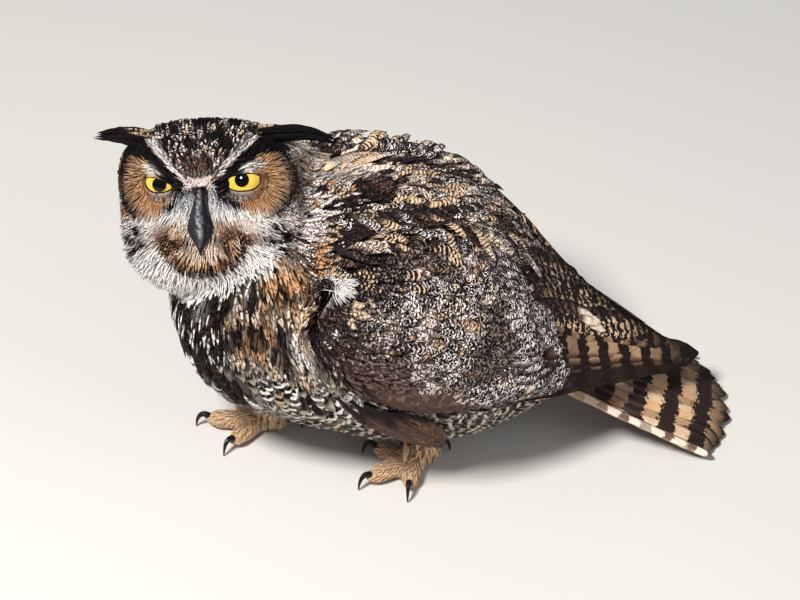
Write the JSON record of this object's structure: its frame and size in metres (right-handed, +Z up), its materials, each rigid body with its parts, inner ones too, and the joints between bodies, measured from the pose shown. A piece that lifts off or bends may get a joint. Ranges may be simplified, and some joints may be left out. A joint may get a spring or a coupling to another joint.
{
  "type": "great horned owl",
  "caption": "Life-size great horned owl crouched on flat ground, head turned to its left, wings folded, fanned tail resting on the ground.",
  "frame": {"origin": "on the ground under the middle of the bird's bounding box", "axes": "-X is the way the body heads, +X runs out over the tail, -Y is the bird's left side, +Z is up"},
  "size_m": [0.4215, 0.2126, 0.2471],
  "materials": {
    "body_plumage": "soft body feathers, dark brown mottled and barred with buff and white",
    "face_plumage": "short face feathers, tawny discs with black rims, white chin and brows",
    "wing_plumage": "firm wing feathers, dark brown vermiculated with grey white and barred with buff",
    "tail_plumage": "firm tail feathers barred dark brown on buff",
    "feet": "short tawny feathers over legs and toes",
    "horn": "dark slate horn, satin",
    "eyes": "yellow iris with a round black pupil under a wet clear cornea"
  },
  "bodies": {
    "root": {"trunk": "body_plumage", "neck": "body_plumage", "head": "face_plumage", "ear_tuft_left": "face_plumage", "ear_tuft_right": "face_plumage", "eye_left": "eyes", "eye_right": "eyes", "bill_upper": "horn", "bill_lower": "horn", "wing_left_coverts": "wing_plumage", "wing_left_primaries": "wing_plumage", "wing_left_secondaries": "wing_plumage", "wing_left_alula": "wing_plumage", "wing_right_coverts": "wing_plumage", "wing_right_primaries": "wing_plumage", "wing_right_secondaries": "wing_plumage", "wing_right_alula": "wing_plumage", "tail": "tail_plumage", "leg_left": "feet", "leg_right": "feet", "foot_left": "feet", "foot_right": "feet", "claw_left_inner": "horn", "claw_left_middle": "horn", "claw_left_outer": "horn", "claw_left_hind": "horn", "claw_right_inner": "horn", "claw_right_middle": "horn", "claw_right_outer": "horn", "claw_right_hind": "horn"}
  },
  "joints": []
}
